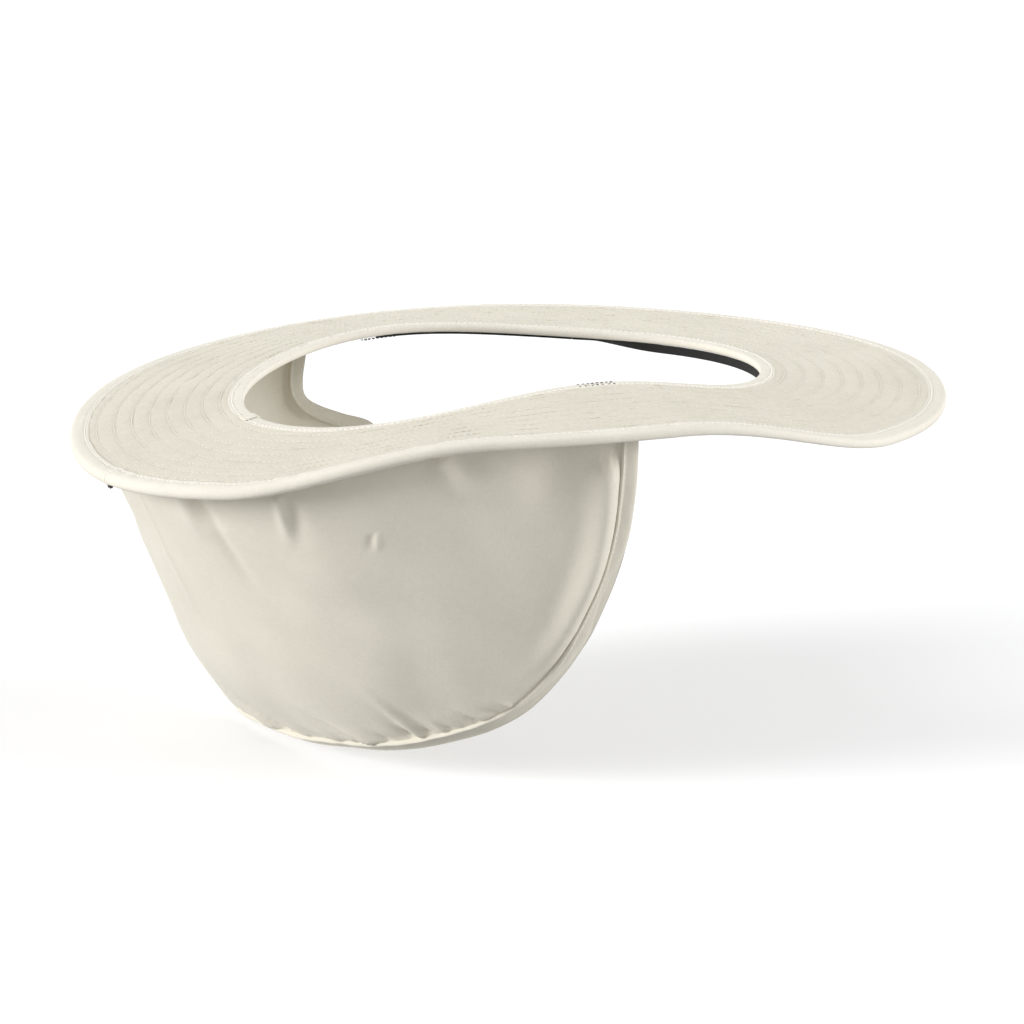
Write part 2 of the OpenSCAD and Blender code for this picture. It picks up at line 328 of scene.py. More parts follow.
def stitch_mesh(runs, radius, pitch, gap, seed):
    """Points, faces and flat places of stitches along paths. Each run is (path, normals)."""
    rng = np.random.default_rng(seed)
    all_points, all_cloth = [], []
    for path, normals in runs:
        lengths = lengths_along(path)
        count = max(1, int(round(lengths[-1] / pitch)))
        length = lengths[-1] / count
        starts = np.arange(count) * length + rng.normal(0, 0.05 * pitch, count) + gap / 2
        wanted = starts[:, None] + STITCH_SHARES[None, :] * (length - gap)
        wanted = np.clip(wanted, 0, lengths[-1])
        centre = at_length(path, lengths, wanted)
        normal = unit(at_length(normals, lengths, wanted))
        tangent = unit(np.gradient(centre, axis=1))
        side = unit(np.cross(tangent, normal))
        lean = rng.normal(0, 0.12, count)[:, None, None] * radius
        centre = centre + normal * (STITCH_RISE * radius)[None, :, None] + side * lean
        turn = np.arange(STITCH_SIDES) / STITCH_SIDES * 2 * math.pi
        fat = (STITCH_FATNESS * radius)[None, :, None, None]
        sideways = side[:, :, None] * np.cos(turn)[None, None, :, None]
        ring = sideways + normal[:, :, None] * np.sin(turn)[None, None, :, None]
        all_points.append((centre[:, :, None] + ring * fat).reshape(-1, 3))
        cloth = np.stack(np.broadcast_arrays(wanted[:, :, None], turn[None, None, :] * radius), -1)
        all_cloth.append(cloth.reshape(-1, 2))
    points, cloth = np.concatenate(all_points), np.concatenate(all_cloth)
    rings = len(STITCH_SHARES)
    per = rings * STITCH_SIDES
    count = len(points) // per
    tube = grid_faces(rings, STITCH_SIDES, wrap_columns=True)
    offsets = np.arange(count)[:, None, None] * per
    sides = (tube[None] + offsets).reshape(-1, 4).tolist()
    ends = []
    for k in range(count):
        ends.append(list(range(k * per, k * per + STITCH_SIDES)))
        ends.append(list(range(k * per + per - 1, k * per + per - 1 - STITCH_SIDES, -1)))
    return points, sides + ends, cloth


def stitches(name, runs, material, slot, radius=0.3, pitch=3.0, gap=0.4, seed=1):
    points, faces, cloth = stitch_mesh(runs, radius, pitch, gap, seed)
    return make_piece(name, points, faces, cloth, material)


# ---------------------------------------------------------------- materials
def new_material(name):
    material = bpy.data.materials.new(name)
    material.use_nodes = True
    nodes = material.node_tree.nodes
    return material, nodes, material.node_tree.links, nodes["Principled BSDF"]


def math_node(nodes, links, operation, a, b=None, c=None):
    node = nodes.new("ShaderNodeMath")
    node.operation = operation
    for socket, value in zip(node.inputs, (a, b, c)):
        if value is None:
            continue
        if isinstance(value, (int, float)):
            socket.default_value = value
        else:
            links.new(value, socket)
    return node.outputs[0]


def noise_node(nodes, links, vector, scale, detail=3.0, roughness=0.55):
    node = nodes.new("ShaderNodeTexNoise")
    links.new(vector, node.inputs["Vector"])
    node.inputs["Scale"].default_value = scale
    node.inputs["Detail"].default_value = detail
    node.inputs["Roughness"].default_value = roughness
    return node.outputs["Fac"]


def scaled(nodes, links, vector, scale):
    node = nodes.new("ShaderNodeMapping")
    links.new(vector, node.inputs["Vector"])
    node.inputs["Scale"].default_value = scale
    return node.outputs[0]


def ramp(nodes, links, value, stops):
    node = nodes.new("ShaderNodeValToRGB")
    links.new(value, node.inputs[0])
    elements = node.color_ramp.elements
    while len(elements) < len(stops):
        elements.new(0.5)
    for element, (place, colour) in zip(elements, stops):
        element.position = place
        element.color = (*colour, 1)
    return node.outputs[0]


def ranged(nodes, links, value, lowest=0.0, highest=1.0, to_lowest=0.0, to_highest=1.0):
    """A value carried over from one range to another."""
    node = nodes.new("ShaderNodeMapRange")
    node.inputs["From Min"].default_value = lowest
    node.inputs["From Max"].default_value = highest
    node.inputs["To Min"].default_value = to_lowest
    node.inputs["To Max"].default_value = to_highest
    links.new(value, node.inputs["Value"])
    return node.outputs[0]


def cloth_place(nodes):
    """Each point's place on its flat material, in mm."""
    node = nodes.new("ShaderNodeAttribute")
    node.attribute_name = "cloth"
    return node.outputs["Vector"]


def add_relief(nodes, links, shader, height, strength, depth):
    """Fine relief on a material, up to a depth in mm."""
    relief = nodes.new("ShaderNodeBump")
    relief.inputs["Strength"].default_value = strength
    relief.inputs["Distance"].default_value = depth * MM
    links.new(height, relief.inputs["Height"])
    links.new(relief.outputs[0], shader.inputs["Normal"])


MOTTLING = 0.3  # how much of a cloth's colour change is broad, cloudy mottling


def woven_material(name, dark, light, yarn, bump, yarn_tone_and_shade=0.5, rough=0.9, sheen=0.12, ribs=0.0):
    """Plain weave. yarn is the pitch of the threads in mm; dark and light are the cloth's colour range."""
    material, nodes, links, shader = new_material(name)
    flat = cloth_place(nodes)
    parts = nodes.new("ShaderNodeSeparateXYZ")
    links.new(flat, parts.inputs[0])
    # yarns wander a little and are uneven along their length
    wander = noise_node(nodes, links, flat, 0.22, 2.0)
    turn = 2 * math.pi / yarn
    warp = math_node(nodes, links, "MULTIPLY", parts.outputs[0], turn)
    weft = math_node(nodes, links, "MULTIPLY", parts.outputs[1], turn)
    shift = math_node(nodes, links, "MULTIPLY", wander, 5.0)
    warp = math_node(nodes, links, "SINE", math_node(nodes, links, "ADD", warp, shift))
    weft = math_node(nodes, links, "SINE", math_node(nodes, links, "ADD", weft, shift))
    if ribs:
        ribbed = math_node(nodes, links, "MULTIPLY", warp, ribs)
        weave = math_node(nodes, links, "MULTIPLY_ADD", weft, 1 - ribs, ribbed)
    else:
        weave = math_node(nodes, links, "MULTIPLY", warp, weft)
    slub_a = noise_node(nodes, links, scaled(nodes, links, flat, (0.16 / yarn, 1.1 / yarn, 1)), 1.0, 2.0)
    slub_b = noise_node(nodes, links, scaled(nodes, links, flat, (1.1 / yarn, 0.16 / yarn, 1)), 1.0, 2.0)
    slub = math_node(nodes, links, "MULTIPLY", math_node(nodes, links, "ADD", slub_a, slub_b), 0.5)
    fuzz = noise_node(nodes, links, flat, 1.6 / yarn, 2.0, 0.7)
    height = math_node(nodes, links, "MULTIPLY_ADD", weave, 0.30, slub)
    height = math_node(nodes, links, "MULTIPLY_ADD", fuzz, 1.0, height)
    # colour: broad mottling, yarn to yarn change, and painted shade: darker in the weave's valleys, lighter on
    # the thread tops
    broad = noise_node(nodes, links, flat, 0.018, 3.0)
    clouds = math_node(nodes, links, "MULTIPLY", broad, MOTTLING)
    mixed = math_node(nodes, links, "MULTIPLY_ADD", height, yarn_tone_and_shade, clouds)
    level = ranged(nodes, links, mixed, MOTTLING * 0.35 + yarn_tone_and_shade * 0.62, MOTTLING * 0.65 + yarn_tone_and_shade * 1.38)
    middle = [(a + b) / 2 for a, b in zip(dark, light)]
    colour = ramp(nodes, links, level, [(0.0, dark), (0.5, middle), (1.0, light)])
    links.new(colour, shader.inputs["Base Color"])
    roughness = ranged(nodes, links, fuzz, 0.0, 1.0, rough - 0.08, min(1.0, rough + 0.08))
    links.new(roughness, shader.inputs["Roughness"])
    add_relief(nodes, links, shader, height, 1.0, bump)
    shader.inputs["Sheen Weight"].default_value = sheen
    shader.inputs["Sheen Roughness"].default_value = 0.45
    shader.inputs["Specular IOR Level"].default_value = 0.25
    return material


def thread_material(name, dark, light):
    """Twisted sewing thread: plies run round it at a slant."""
    material, nodes, links, shader = new_material(name)
    flat = cloth_place(nodes)
    parts = nodes.new("ShaderNodeSeparateXYZ")
    links.new(flat, parts.inputs[0])
    round_it = math_node(nodes, links, "MULTIPLY", parts.outputs[1], 6.0)
    slant = math_node(nodes, links, "MULTIPLY_ADD", parts.outputs[0], 9.0, round_it)
    plies = math_node(nodes, links, "SINE", slant)
    fuzz = noise_node(nodes, links, flat, 2.5, 2.0)
    height = math_node(nodes, links, "MULTIPLY_ADD", plies, 0.35, fuzz)
    # colour follows the plies: painted shade in the grooves between them, with random tone from the fuzz
    level = ranged(nodes, links, height, 0.1, 0.9)
    links.new(ramp(nodes, links, level, [(0.0, dark), (1.0, light)]), shader.inputs["Base Color"])
    links.new(ranged(nodes, links, fuzz, 0.0, 1.0, 0.55, 0.75), shader.inputs["Roughness"])
    add_relief(nodes, links, shader, height, 0.8, 0.05)
    shader.inputs["Sheen Weight"].default_value = 0.1
    return material


def felt_material(name, dark, light):
    """Stiff felted interlining, whose place comes from the object itself."""
    material, nodes, links, shader = new_material(name)
    place = nodes.new("ShaderNodeTexCoord").outputs["Object"]
    fibres = noise_node(nodes, links, place, 900, 6.0, 0.7)
    clouds = noise_node(nodes, links, place, 60, 3.0)
    fine = math_node(nodes, links, "MULTIPLY", fibres, 0.6)
    mixed = math_node(nodes, links, "MULTIPLY_ADD", clouds, 0.4, fine)
    links.new(ramp(nodes, links, mixed, [(0.3, dark), (0.7, light)]), shader.inputs["Base Color"])
    add_relief(nodes, links, shader, fibres, 0.6, 0.2)
    shader.inputs["Roughness"].default_value = 0.95
    return material


brim_cloth = woven_material("brim_cloth", (0.53, 0.495, 0.405), (0.79, 0.75, 0.645), 0.95, 0.10, yarn_tone_and_shade=0.6)
shade_fabric = woven_material(
    "shade_fabric", (0.61, 0.575, 0.485), (0.76, 0.725, 0.63), 0.8, 0.05, yarn_tone_and_shade=0.4, rough=0.58, sheen=0.2
)
tape_cloth = woven_material("tape_cloth", (0.64, 0.605, 0.52), (0.84, 0.805, 0.72), 0.7, 0.07, yarn_tone_and_shade=0.5)
white_thread = thread_material("white_thread", (0.72, 0.70, 0.63), (0.95, 0.93, 0.88))
quilting_thread = thread_material("quilting_thread", (0.60, 0.57, 0.485), (0.80, 0.775, 0.69))
dark_thread = thread_material("dark_thread", (0.010, 0.008, 0.006), (0.055, 0.045, 0.035))
elastic_weave = woven_material(
    "elastic_weave", (0.004, 0.004, 0.004), (0.022, 0.021, 0.020), 0.6, 0.08,
    yarn_tone_and_shade=0.6, rough=0.75, sheen=0.05, ribs=0.5,
)
core_felt = felt_material("core_felt", (0.35, 0.34, 0.31), (0.52, 0.51, 0.47))

# ---------------------------------------------------------------- brim
BRIM_STEPS = 720
ROW_OFFSETS = np.array([-2.6, -1.6, -0.9, -0.45, 0.0, 0.45, 0.9, 1.6, 2.6])


def brim_columns(angle):
    """Distances out from the opening at which a cover has points: close together beside each row."""
    width = brim_width(angle)
    columns = [np.full_like(width, LAYER_INSET), np.full_like(width, 3.5)]
    for row in range(1, QUILTING_ROWS + 1):
        at = row_out(angle, row)
        half = (row_out(angle, 2) - row_out(angle, 1)) / 2
        columns.append(at - half + 0.05 * (row > 1))
        columns += [at + offset for offset in ROW_OFFSETS]
    columns += [row_out(angle, QUILTING_ROWS) + half, width - 3.5, width - LAYER_INSET]
    return np.stack(columns, -1)


def cover_relief(angle, out, seed):
    """How far a cover stands above its plain surface: padded between the rows, pulled in along them."""
    total = np.zeros(np.broadcast(angle, out).shape)
    girth = 900
    near_row = np.full(total.shape, 1e3)
    for row in range(1, QUILTING_ROWS + 1):
        off = out - row_out(angle, row)
        near_row = np.minimum(near_row, np.abs(off))
        pucker = ring_ripple(angle, 9, girth, seed + row) * gauss(off / 2.4) * (1 - gauss(off / 0.5))
        total = total + 0.09 * pucker - 0.14 * gauss(off / 0.7)
    total = total + 0.16 * (1 - gauss(near_row / 2.2))
    points = on_brim(angle, out, 0)
    total = total + 0.12 * cloth_ripple(points[..., 0], points[..., 1], 26, seed + 40)
    total = total + 0.05 * cloth_ripple(points[..., 0], points[..., 1], 7, seed + 41)
    # the tapes hold the cloth's edges down
    inside = step_up(out, 4.5, 9.5) * step_up(brim_width(angle) - out, 5.5, 10.5)
    return total * inside


def brim_cover(name, side, seed):
    """One cover cloth, above (side 1) or below (side -1) the core, from one tape's fold to the other's."""
    angle = np.arange(BRIM_STEPS)[:, None] * 360 / BRIM_STEPS
    out = brim_columns(angle[:, 0])
    face = on_brim(angle, out, side * (COVER_TOP + cover_relief(angle, out, seed)))
    back = on_brim(angle, out[:, [0, -1]], side * COVER_BASE)
    columns = out.shape[1]
    face_faces = grid_faces(BRIM_STEPS, columns, wrap_rows=True)
    start = BRIM_STEPS * columns
    i = np.arange(BRIM_STEPS)
    n = (i + 1) % BRIM_STEPS
    inner, outer = start + 2 * i, start + 2 * i + 1
    inner_next, outer_next = start + 2 * n, start + 2 * n + 1
    back_faces = np.stack([inner, outer, outer_next, inner_next], -1)
    inner_rim = np.stack([i * columns, inner, inner_next, n * columns], -1)
    outer_rim = np.stack([i * columns + columns - 1, n * columns + columns - 1, outer_next, outer], -1)
    faces = np.concatenate([face_faces, back_faces, inner_rim, outer_rim])
    if side > 0:
        faces = faces[:, ::-1]
    points = np.concatenate([face.reshape(-1, 3), back.reshape(-1, 3)])
    cover = make_piece(name, points, faces.tolist(), points[:, :2], brim_cloth)
    return cover


def brim_path(angles, out, up):
    """A line on the brim and the brim's own upward normals along it."""
    path = on_brim(angles, out, up)
    out_way = unit(on_brim(angles, out + 1, up) - path)
    along = unit(np.gradient(path, axis=0))
    normals = unit(np.cross(out_way, along))
    return path, normals * np.sign(normals[:, 2:3])


def both_faces(angles, out, up):
    """Runs of stitches along the same line on the brim's upper and lower faces."""
    above, normals = brim_path(angles, out, up)
    below, _ = brim_path(angles, out, -up)
    return [(above, normals), (below, -normals)]


FULL_RING = np.linspace(0, 360, 1441)

top_cover = brim_cover("top_cover", 1, 100)
under_cover = brim_cover("under_cover", -1, 200)
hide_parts("brim_top_fabric")
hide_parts("brim_under_fabric")
for cover in (top_cover, under_cover):
    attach(cover, "brim")

for row in range(1, QUILTING_ROWS + 1):
    runs = both_faces(FULL_RING, row_out(FULL_RING, row), COVER_TOP - 0.1)
    line = stitches(f"quilting_stitches_{row}", runs, quilting_thread, "thread", 0.26, 3.1, 0.3, 300 + row)
    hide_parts(f"quilting_row_{row}")
    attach(line, "brim")

# ---------------------------------------------------------------- tapes folded over the two edges
# Half of a tape's outer face: distance in from its fold, and height, from the middle of the fold on
OUTER_ROLL = [
    [-0.2, 0.0], [-0.1, 0.9], [0.3, 1.8], [1.1, 2.6], [2.2, 3.1], [3.4, 3.25], [4.6, 3.1], [5.6, 2.75],
    [6.3, 2.38], [6.7, 2.25], [7.1, 2.45], [7.6, 2.75], [8.1, 2.7], [8.4, 2.35], [8.42, 1.8],
]
INNER_ROLL = [
    [-0.1, 0.0], [0.0, 0.8], [0.4, 1.6], [1.1, 2.2], [2.0, 2.5], [3.0, 2.6], [4.0, 2.52], [4.8, 2.35],
    [5.3, 2.15], [5.65, 2.1], [6.0, 2.3], [6.45, 2.62], [6.95, 2.6], [7.25, 2.3], [7.3, 1.8],
]
OUTER_STITCH_IN = 6.7
INNER_STITCH_IN = 5.65
INNER_PUFF = 0.35
OUTER_PUFF_LEAST = 0.31
OUTER_PUFF_MORE = 0.77
OUTER_PUFF_SWELL = (205, 45)
TAPE_FACE = 1.78  # a tape's faces lie further than this from the brim's middle plane


def outer_puff(angle):
    """Share of the outer tape's full puff: plump at the back on the wearer's right, flatter elsewhere."""
    return OUTER_PUFF_LEAST + OUTER_PUFF_MORE * swell(angle, OUTER_PUFF_SWELL)


def puffed(up, puff):
    """A height on a tape's outer face, with what stands above the cloth scaled by the puff."""
    return np.sign(up) * (np.minimum(np.abs(up), COVER_TOP) + np.maximum(np.abs(up) - COVER_TOP, 0) * puff)


# Its inner face, against the cloths, from the free edge back to the fold
OUTER_BACK = [[7.6, 1.75], [1.6, 1.75], [0.9, 0.9]]
INNER_BACK = [[6.5, 1.75], [1.6, 1.75], [0.9, 0.9]]


def tape_section(roll, back):
    """A closed section of tape folded over an edge, from the lower free edge round the fold and back."""
    upper = np.array(roll, float)
    lower = upper[:0:-1] * [1, -1]
    inside = np.array(back, float)
    return np.concatenate([lower, upper, inside, inside[::-1] * [1, -1]])


def tape_relief(angle, section, girth, seed):
    """Puckers of a folded tape: a slanted ripple that fades out at the fold."""
    upper = section[:, 1] > 0
    depth = np.clip(section[:, 0], 0, None)
    slant = angle[:, None] + np.where(upper, 1, -1)[None, :] * depth[None, :] * 0.35
    ripple = ring_ripple(slant, 13, girth, seed) * 0.16 + ring_ripple(slant, 5.5, girth, seed + 1) * 0.07
    facing = np.where(section[:, 1] > TAPE_FACE, 1, np.where(section[:, 1] < -TAPE_FACE, -1, 0))
    return ripple * step_up(depth, 0.3, 3.0)[None, :] * facing[None, :]


def brim_tape(name, angles, section, at_outer_edge, girth, seed, lift=None):
    """Tape swept between two angles; lift raises both faces of the tape at each station."""
    puff = (outer_puff(angles) if at_outer_edge else INNER_PUFF + 0 * angles)[:, None]
    relief = tape_relief(angles, section, girth, seed) * (0.5 + 0.5 * puff)
    ups = puffed(section[None, :, 1], puff) + relief
    if lift is not None:
        ups = ups + np.sign(section[None, :, 1]) * lift[:, None] * (np.abs(section[None, :, 1]) > 1.0)
    wobble = ring_ripple(angles, 30, girth, seed + 2)[:, None] * 0.18 * step_up(section[None, :, 0], 4, 8)
    ins = section[None, :, 0] + wobble
    if lift is not None:
        ins = ins - lift[:, None] * (section[None, :, 0] < 0.5)
    place = from_edge if at_outer_edge else on_brim
    rings = place(angles[:, None], ins, ups)
    if not at_outer_edge:
        rings = rings[:, ::-1]
    across = lengths_along(section)
    if not at_outer_edge:
        across = across[::-1]
    along = np.radians(angles) * girth / (2 * math.pi)
    return swept(name, rings, False, along, across, tape_cloth)


OUTER_GIRTH = 1235
INNER_GIRTH = 720
OUTER_JOINT = 181
INNER_JOINT = 173.5
outer_angles = np.linspace(OUTER_JOINT + 0.06, OUTER_JOINT + 359.94, 1100)
first_end = 0.35 * gauss((outer_angles - outer_angles[0]) / 0.6)
last_end = 0.2 * gauss((outer_angles - outer_angles[-1]) / 0.5)
outer_section = tape_section(OUTER_ROLL, OUTER_BACK)
outer_tape = brim_tape("outer_tape", outer_angles, outer_section, True, OUTER_GIRTH, 400, first_end + last_end)
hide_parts("outer_binding")

inner_angles = np.linspace(INNER_JOINT, INNER_JOINT + 364.5, 760)
overlap = 0.5 * step_up(inner_angles, INNER_JOINT + 359.0, INNER_JOINT + 360.8)
inner_section = tape_section(INNER_ROLL, INNER_BACK)
inner_tape = brim_tape("inner_tape", inner_angles, inner_section, False, INNER_GIRTH, 420, overlap)
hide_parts("inner_binding")

TOPSTITCH_LEVEL = 1.87
outer_level = TOPSTITCH_LEVEL + 0.45 * outer_puff(FULL_RING)
outer_runs = both_faces(FULL_RING, brim_width(FULL_RING) - OUTER_STITCH_IN, outer_level)
outer_tape_stitches = stitches(
    "outer_tape_stitches", outer_runs, white_thread, "thread", radius=0.3, pitch=3.0, seed=430
)
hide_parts("outer_binding_stitch")
inner_level = TOPSTITCH_LEVEL + 0.3 * INNER_PUFF
inner_runs = both_faces(FULL_RING, np.full_like(FULL_RING, INNER_STITCH_IN), inner_level)
inner_tape_stitches = stitches(
    "inner_tape_stitches", inner_runs, white_thread, "thread", radius=0.34, pitch=2.8, seed=431
)
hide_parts("inner_binding_stitch")

# Short stitches, sewn across the place where the outer tape's ends meet
joint_runs = []
for k, inward in enumerate([1.2, 2.6, 4.0, 5.3, 6.3, 7.4]):
    spread = 0.55 + 0.12 * math.sin(2.1 * k)
    angles = OUTER_JOINT + 0.1 * math.sin(3 * k) + np.linspace(-spread, spread, 5)
    level = float(np.interp(inward, [p[0] for p in OUTER_ROLL], [p[1] for p in OUTER_ROLL]))
    level = float(puffed(level, outer_puff(OUTER_JOINT))) + 0.15
    path, normals = brim_path(angles, brim_width(angles) - inward - np.linspace(-0.4, 0.4, 5), level)
    joint_runs.append((path, normals))
joint_stitches = stitches(
    "joint_stitches", joint_runs, white_thread, "thread", radius=0.26, pitch=4.0, gap=0.2, seed=440
)


def knot_path(centre, size, turns, seed):
    """A small tangle: a few loops of different tilt with two loose ends."""
    rng = np.random.default_rng(seed)
    phase = rng.uniform(0, 2 * math.pi, 3)
    t = np.linspace(0, turns * 2 * math.pi, 26 * turns)
    reach = 0.6 + 0.4 * np.cos(t / turns / 2) ** 2
    return centre + np.stack([
        size[0] * reach * np.sin(t + phase[0]),
        size[1] * reach * np.cos(1.37 * t + phase[1]),
        size[2] * reach * np.sin(1.71 * t + phase[2]),
    ], -1)


def tube(name, path, radius, sides, material, slot):
    """A round thread along a path."""
    tangent = unit(np.gradient(path, axis=0))
    side = unit(np.cross(tangent, [0.31, 0.17, 0.93]))
    other = np.cross(tangent, side)
    turn = np.arange(sides) / sides * 2 * math.pi
    fat = radius * np.minimum(1, 0.4 + np.minimum(np.arange(len(path)), np.arange(len(path))[::-1]) * 0.3)
    ring = side[:, None] * np.cos(turn)[None, :, None] + other[:, None] * np.sin(turn)[None, :, None]
    rings = path[:, None] + ring * fat[:, None, None]
    return swept(name, rings, False, lengths_along(path), turn * radius, material)


knot_centre = from_edge(OUTER_JOINT + 0.6, 1.5, -3.05)
knot_loops = knot_path(knot_centre, (0.9, 1.3, 0.7), 5, 5)
joint_knot = tube("joint_knot", knot_loops, 0.28, 6, dark_thread, "dark_thread")
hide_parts("binding_joint_thread")

for piece in (outer_tape, inner_tape, outer_tape_stitches, inner_tape_stitches, joint_stitches, joint_knot):
    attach(piece, "brim")

# ---------------------------------------------------------------- elastic
ELASTIC_FREE = 50
ELASTIC_SEWN = 95
ELASTIC_WIDTH = 4.1
ELASTIC_THICKNESS = 0.75
ELASTIC_TWIST = 24  # degrees over which each end of the free span turns flat under the tape
ELASTIC_OUT = 3.9  # where its sewn ends lie, out from the opening
ELASTIC_UP = -2.65
OPENING_RADIUS = 115  # a mean, for lengths along the elastic
CRIMP_PITCH = 0.9


def ribbed_section(width, thickness):
    """A flat section whose long sides carry lengthwise ribs; the first number runs along the width."""
    steps = 12
    across = np.linspace(-width / 2, width / 2, steps + 1)
    ribs = thickness / 2 + 0.07 * np.cos(across / width * 2 * math.pi * 6)
    top = np.stack([across, ribs], -1)
    return np.concatenate([top, top[::-1] * [1, -1]])


def elastic_strip(name, first, last, steps, tilt_at, out_at, up_at):
    """Elastic swept along the opening; tilt 0 lies flat and 90 stands on edge."""
    angles = np.linspace(first, last, steps)
    section = ribbed_section(ELASTIC_WIDTH, ELASTIC_THICKNESS)
    crimp = 1 + 0.10 * np.sin(np.radians(angles) * OPENING_RADIUS / CRIMP_PITCH * 2 * math.pi)[:, None]
    tilt = np.radians(tilt_at(angles))[:, None]
    across, thick = section[None, :, 0], section[None, :, 1] * crimp
    out = out_at(angles)[:, None] + across * np.cos(tilt) + thick * np.sin(tilt)
    up = up_at(angles)[:, None] - across * np.sin(tilt) + thick * np.cos(tilt)
    rings = on_brim(angles[:, None], out, up)
    along = np.radians(angles) * OPENING_RADIUS
    return swept(name, rings, False, along, section[:, 0], elastic_weave)


def standing(angles):
    return 1 - step_up(np.abs(angles), ELASTIC_FREE - ELASTIC_TWIST, ELASTIC_FREE)


elastic_span = elastic_strip(
    "elastic_span", -ELASTIC_FREE, ELASTIC_FREE, 520,
    lambda a: 90 * standing(a),
    lambda a: ELASTIC_OUT - 2.6 * standing(a),
    lambda a: ELASTIC_UP - 1.5 * standing(a) - 0.1 * standing(a) * np.cos(np.radians(a) * 3),
)
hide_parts("elastic_band")
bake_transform(elastic_span)

TACK_HALF = 4.2  # half a tack's length, in degrees round the opening
TACK_THREAD = {"radius": 0.24, "pitch": 2.3, "gap": 0.7}
for word, side in (("left", 1), ("right", -1)):
    end = elastic_strip(
        f"elastic_sewn_{word}", side * (ELASTIC_FREE + 0.2), side * ELASTIC_SEWN, 300,
        lambda a: 0 * a, lambda a: ELASTIC_OUT + 0 * a, lambda a: ELASTIC_UP + 0 * a,
    )
    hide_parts(f"elastic_end_{word}")
    angles = np.linspace(side * (ELASTIC_SEWN - TACK_HALF), side * (ELASTIC_SEWN + TACK_HALF), 40)
    top_rows, under_rows = [], []
    for out in (2.3, 5.0):
        level = float(np.interp(out, [p[0] for p in INNER_ROLL], [p[1] for p in INNER_ROLL]))
        level = float(puffed(level, INNER_PUFF)) + 0.1
        top_rows.append(brim_path(angles, out + 0.15 * np.sin(angles * 2), level))
        below, normals = brim_path(angles, np.full_like(angles, out), -3.06)
        under_rows.append((below, -normals))
    # the machine's top thread is white on the wearer's left and dark on the right
    top_thread, top_slot = (white_thread, "thread") if side > 0 else (dark_thread, "dark_thread")
    tack = stitches(
        f"tack_stitches_{word}", under_rows, dark_thread, "dark_thread", seed=450 + side, **TACK_THREAD
    )
    tack_top = stitches(
        f"tack_top_stitches_{word}", top_rows, top_thread, top_slot, seed=460 + side, **TACK_THREAD
    )
    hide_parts(f"elastic_tack_{word}")
    for piece in (end, tack, tack_top):
        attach(piece, "brim")

# ---------------------------------------------------------------- seam tape under the brim
SEAM_TAPE_WIDTH = 9
SEAM_RADIUS = 175  # a mean, for lengths along the tape
SEAM_GIRTH = 1100
seam_angles = seam_angle(np.linspace(-0.004, 1.004, 420))
tape_in = SEAM_INSET + SEAM_TAPE_WIDTH * np.array([-0.36, -0.34, -0.2, 0, 0.3, 0.55, 0.69, 0.71])
tape_drop = np.array([0.15, 0.55, 0.62, 0.72, 0.7, 0.62, 0.55, 0.15])
seam_section_in = np.concatenate([tape_in, tape_in[::-1]])
seam_section_up = np.concatenate([-2.2 - tape_drop, np.full(len(tape_in), -2.1)])
seam_wave = ring_ripple(seam_angles, 12, SEAM_GIRTH, 470)[:, None] * 0.1 * (seam_section_up[None, :] < -2.4)
seam_rings = from_edge(seam_angles[:, None], seam_section_in[None, :], seam_section_up[None, :] + seam_wave)
seam_across = np.concatenate([tape_in, tape_in[::-1] + 0.3])
seam_along = np.radians(seam_angles) * SEAM_RADIUS
seam_tape = swept("seam_tape", seam_rings, False, seam_along, seam_across, tape_cloth)
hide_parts("shade_seam_tape")
seam_runs = []
for inward in (SEAM_INSET - 2, SEAM_INSET + 5):
    path, normals = brim_path(seam_angles, brim_width(seam_angles) - inward, -2.85)
    seam_runs.append((path, -normals))
seam_stitches = stitches("seam_stitches", seam_runs, white_thread, "thread", radius=0.28, pitch=2.9, seed=471)
for piece in (seam_tape, seam_stitches):
    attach(piece, "brim")

# ---------------------------------------------------------------- neck shade
SHADE_COLUMNS = 600
SHADE_ROWS = 160
SHADE_CENTRE = (-15, 0)  # the shade wraps round this point
CLOTH_GIRTH = 470  # the cloth's mean girth and drop, for ripples and folds
CLOTH_DROP = 145
WEAVE_DROP = 148  # its drop, for the weave


def facing_out(normals, points):
    """Normals, turned over where most of them face the wearer."""
    outwards = np.concatenate([points[..., :2] - SHADE_CENTRE, 0 * points[..., :1]], -1)
    return -normals if (normals * outwards).sum() < 0 else normals


def outline_of_shade(step=0.7):
    """The shade's free edge, down the right front, along the bottom and up the left front: points, the
    surface's outward normals and the directions inwards over the cloth, at equal steps of length."""
    side = np.linspace(0, 1, 600)
    bottom = np.linspace(0, 1, 1600)
    u = np.concatenate([0 * side, bottom[1:], 1 + 0 * side[1:]])
    v = np.concatenate([side, 1 + 0 * bottom[1:], side[::-1][1:]])
    points = shade_at(u, v)
    near = 0.004
    du = shade_at(np.clip(u + near, 0, 1), v) - shade_at(np.clip(u - near, 0, 1), v)
    dv = shade_at(u, np.clip(v + near, 0, 1)) - shade_at(u, np.clip(v - near, 0, 1))
    crossed = np.cross(du, dv)
    lengths = lengths_along(points)
    wanted = np.arange(0, lengths[-1], step)
    places = at_length(points, lengths, wanted)
    normals = at_length(crossed, lengths, wanted)
    # the surface's own lines run together at the corners, so normals are averaged along the edge
    kernel = gauss(np.linspace(-2, 2, int(36 / step) | 1))
    kernel /= kernel.sum()
    pad = len(kernel) // 2
    padded = np.concatenate([np.repeat(normals[:1], pad, 0), normals, np.repeat(normals[-1:], pad, 0)])
    normals = unit(np.stack([np.convolve(padded[:, k], kernel, "valid") for k in range(3)], -1))
    normals = facing_out(normals, places)
    along = unit(np.gradient(places, axis=0))
    normals = unit(normals - (normals * along).sum(-1, keepdims=True) * along)
    inwards = unit(np.cross(along, normals))
    middle = shade_at(0.5, 0.5)
    if (inwards * (middle - places)).sum() < 0:
        inwards = -inwards
    return wanted, places, normals, inwards


